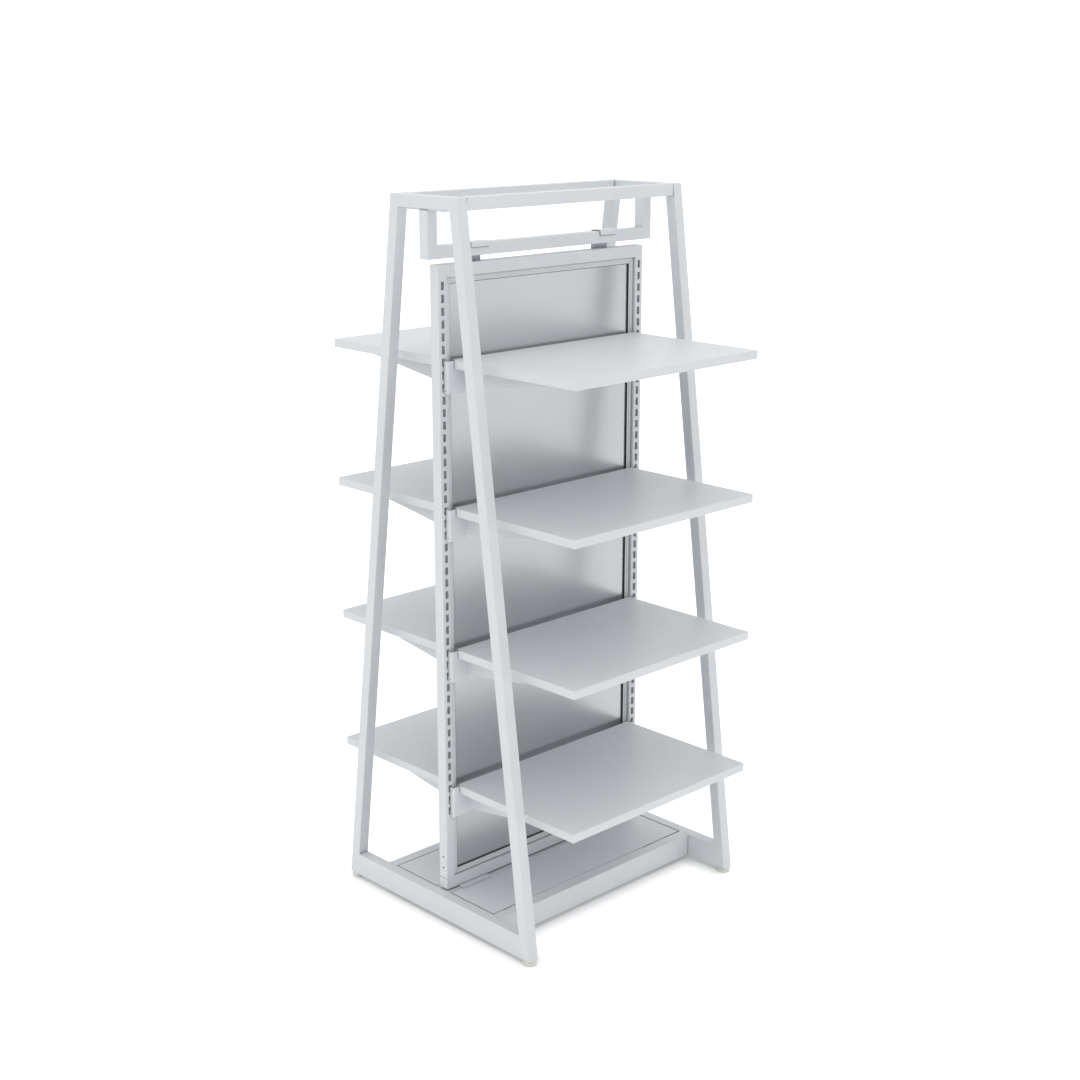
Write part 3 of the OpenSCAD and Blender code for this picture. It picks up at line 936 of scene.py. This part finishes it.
def bracket_shape():
    """Right rear bracket of the top tray: slotted-hook strip, cross flange, tapering arm and lip."""
    plate, bend = 2.5 * MM, 4 * MM
    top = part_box("rear_tray_1")[1].z
    arm_top = top - 1.2 * MM
    strip_x, strip_near, flange_far = mounts["rear_right_slot_row"].x, 12.8 * MM, 24 * MM
    strip_top, strip_low = top - 2 * MM, top - 67 * MM
    arm_x, arm_start, arm_end = 230.5 * MM, 38 * MM, 325 * MM
    root, tip, lip = 60 * MM, 17 * MM, 15 * MM

    line = [(strip_x, strip_near), (strip_x, flange_far), (arm_x, flange_far), (arm_x, arm_start)]
    plan = folded_pairs(line, plate, bend)
    inside = Vector((arm_x - plate, arm_end))
    plan.append((Vector((arm_x, arm_end)), inside))
    seam = arm_top - 4 * MM
    loops = []
    for a, b in plan:
        if a.x > arm_x + bend or a.y < flange_far + SHY:
            z0, z1 = strip_low, strip_top
        elif a.y < arm_start - SHY:
            z0, z1 = top - root, strip_top
        else:
            z0, z1 = top - (root if a.y < arm_end - SHY else tip), seam
        loops.append([Vector((p.x, p.y, z)) for p, z in ((a, z0), (b, z0), (b, z1), (a, z1))])
    over = folded([(arm_x, seam - 4 * MM), (arm_x, arm_top), (arm_x - lip, arm_top)], plate, 3.2 * MM)
    parts = [prism(over, "y", arm_start, arm_end)]
    inner_face = TUBE / 2 - WALL - 0.3 * MM
    for slot_below in (30 * MM, 55 * MM):
        z = top - slot_below - 8 * MM
        root_y, back_y, barb, up = strip_near + 1 * MM, inner_face - plate, z - 7 * MM, z + 8 * MM
        hook = [(root_y, z), (inner_face, z), (inner_face, barb), (back_y, barb), (back_y, up), (root_y, up)]
        parts.append(prism(hook, "x", strip_x - plate, strip_x))
    hole_at = Vector((strip_x - TUBE / 2, (strip_near + flange_far) / 2, strip_low + 6 * MM))
    hole = along_x(lathe([(1.6 * MM, 0), (1.6 * MM, TUBE)], 20), hole_at)
    return softened(carved(united(loft(loops), *parts), hole), 0.35 * MM)


def build_shelves():
    tray, bracket = tray_shape(), bracket_shape()
    for side, way in SIDES.items():
        for level in range(1, LEVELS + 1):
            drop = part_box(f"{side}_tray_{level}")[1].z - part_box("rear_tray_1")[1].z
            down = Matrix.Translation((0, 0, drop))
            body = f"{side}_shelf_{level}"
            sheet = turned(mirrored(tray.copy(), y=way), down)
            piece(f"{side}_tray_{level}_sheet", sheet, body=body, nodes=[f"{side}_tray_{level}"])
            for end, turn in ENDS.items():
                arm = turned(mirrored(bracket.copy(), x=turn, y=way), down)
                piece(f"{side}_{end}_bracket_{level}", arm, body=body, nodes=[f"{side}_brackets_{level}"])
    tray.free()
    bracket.free()


# ---- camera, floor and light ----

CAMERA_PLACE = (-2.45333, -2.53285, 1.74607)
CAMERA_DOWN = 15.37        # degrees below level
CAMERA_FROM_X = 45.97      # degrees from +X towards +Y that it looks along
CAMERA_LENS = 57.10        # mm, for a sensor 36 mm wide

FLOOR_HALF = 60            # metres
FLOOR_DEPTH = 0.02
FLOOR_TONE = 0.93
FLOOR_GLOW = 0.28          # what it gives the unit
FLOOR_GLOW_SEEN = 0.45     # what the camera sees
CONTACT_SHADOW_REACH = 0.04       # how far the painted shadow beside rails and feet spreads, and its tone
CONTACT_SHADOW_TONE = 0.68
PLINTH_SHADOW_REACH = 0.15        # the same painted shadow for the closed-in floor inside the plinth
PLINTH_SHADOW_TONE = 0.65

DOME_LOW = 0.2             # at the horizon
DOME_HIGH = 1.02           # from DOME_RISE up, a direction's height on a unit sphere
DOME_RISE = 0.45
DOME_LEFT = 0.07           # how much brighter it is from -X
DOME_SHINE = 1.0           # as mirrored in glossy surfaces
BACKDROP = 1.05            # as the camera sees it
OVER_BOX_HEIGHT = 3.6      # metres
OVER_BOX_SIZE = 1.8
OVER_BOX_WATTS = 8


def build_camera():
    data = bpy.data.cameras.new("camera")
    data.lens = CAMERA_LENS
    data.sensor_width = 36
    camera = bpy.data.objects.new("camera", data)
    bpy.context.scene.collection.objects.link(camera)
    camera.location = CAMERA_PLACE
    camera.rotation_euler = (math.radians(90 - CAMERA_DOWN), 0, math.radians(CAMERA_FROM_X - 90))
    bpy.context.scene.camera = camera


def build_floor():
    """A pale floor with a faint glow, and painted shadow that darkens it beside the rails and feet and inside
    the plinth.
    """
    outline = rectangle(-FLOOR_HALF, FLOOR_HALF, -FLOOR_HALF, FLOOR_HALF)
    bm = prism(outline, "z", -FLOOR_DEPTH, 0)
    mesh = bpy.data.meshes.new("floor")
    faced_out(bm).to_mesh(mesh)
    bm.free()
    s = Shader("floor", Roughness=0.9)
    s.surface.inputs["Specular IOR Level"].default_value = 0.1
    s.surface.inputs["Emission Color"].default_value = (1, 1, 1, 1)
    # painted shadow: the floor's colour and glow darkened beside rails and feet and inside the plinth
    beside = s.ranged(s.painted_shade_mask(CONTACT_SHADOW_REACH), CONTACT_SHADOW_TONE, 1, 0.5, 1)
    inside = s.ranged(s.painted_shade_mask(PLINTH_SHADOW_REACH), PLINTH_SHADOW_TONE, 1, 0.15, 0.4)
    shade = s.times(beside, inside)
    seen = s.node("ShaderNodeLightPath").outputs["Is Camera Ray"]
    glow = s.ranged(seen, FLOOR_GLOW, FLOOR_GLOW_SEEN, 0, 1)
    s.set("Emission Strength", s.times(shade, glow))
    s.set("Base Color", s.times(shade, FLOOR_TONE))
    mesh.materials.append(s.material)
    floor = bpy.data.objects.new("floor", mesh)
    bpy.context.scene.collection.objects.link(floor)


def build_over_box():
    """A square soft box above the unit. An area light shines down -Z when it isn't turned."""
    data = bpy.data.lights.new("over_box", "AREA")
    data.shape = "SQUARE"
    data.size = OVER_BOX_SIZE
    data.energy = OVER_BOX_WATTS
    light = bpy.data.objects.new("over_box", data)
    bpy.context.scene.collection.objects.link(light)
    light.location = (0, 0, OVER_BOX_HEIGHT)


def build_dome():
    """Light from all round: dim at the horizon, bright from a third of the way up, more so from -X."""
    world = bpy.data.worlds.new("studio")
    bpy.context.scene.world = world
    world.use_nodes = True
    tree = world.node_tree
    background = tree.nodes["Background"]
    background.inputs["Color"].default_value = (1, 1, 1, 1)
    place = tree.nodes.new("ShaderNodeTexCoord")
    split = tree.nodes.new("ShaderNodeSeparateXYZ")
    tree.links.new(place.outputs["Generated"], split.inputs["Vector"])
    height = tree.nodes.new("ShaderNodeMapRange")
    height.inputs["From Max"].default_value = DOME_RISE
    height.inputs["To Min"].default_value = DOME_LOW
    height.inputs["To Max"].default_value = DOME_HIGH
    tree.links.new(split.outputs["Z"], height.inputs["Value"])
    path = tree.nodes.new("ShaderNodeLightPath")
    seen = tree.nodes.new("ShaderNodeMix")
    seen.data_type = "FLOAT"
    tree.links.new(path.outputs["Is Camera Ray"], seen.inputs["Factor"])
    leaning = tree.nodes.new("ShaderNodeMath")
    leaning.operation = "MULTIPLY_ADD"
    leaning.inputs[1].default_value = -DOME_LEFT
    tree.links.new(split.outputs["X"], leaning.inputs[0])
    tree.links.new(height.outputs["Result"], leaning.inputs[2])
    shiny = tree.nodes.new("ShaderNodeMix")
    shiny.data_type = "FLOAT"
    tree.links.new(path.outputs["Is Glossy Ray"], shiny.inputs["Factor"])
    tree.links.new(leaning.outputs["Value"], shiny.inputs["A"])
    shiny.inputs["B"].default_value = DOME_SHINE
    tree.links.new(shiny.outputs["Result"], seen.inputs["A"])
    seen.inputs["B"].default_value = BACKDROP
    tree.links.new(seen.outputs["Result"], background.inputs["Strength"])


build_camera()
build_floor()
build_dome()
build_over_box()
bpy.context.scene.view_settings.view_transform = "Standard"
for end in ENDS:
    build_end_frame(end)
build_top_rails()
build_hanger()
build_flanges()
build_clips()
build_panel_frame()
build_trims()
build_plinth()
build_feet()
build_shelves()
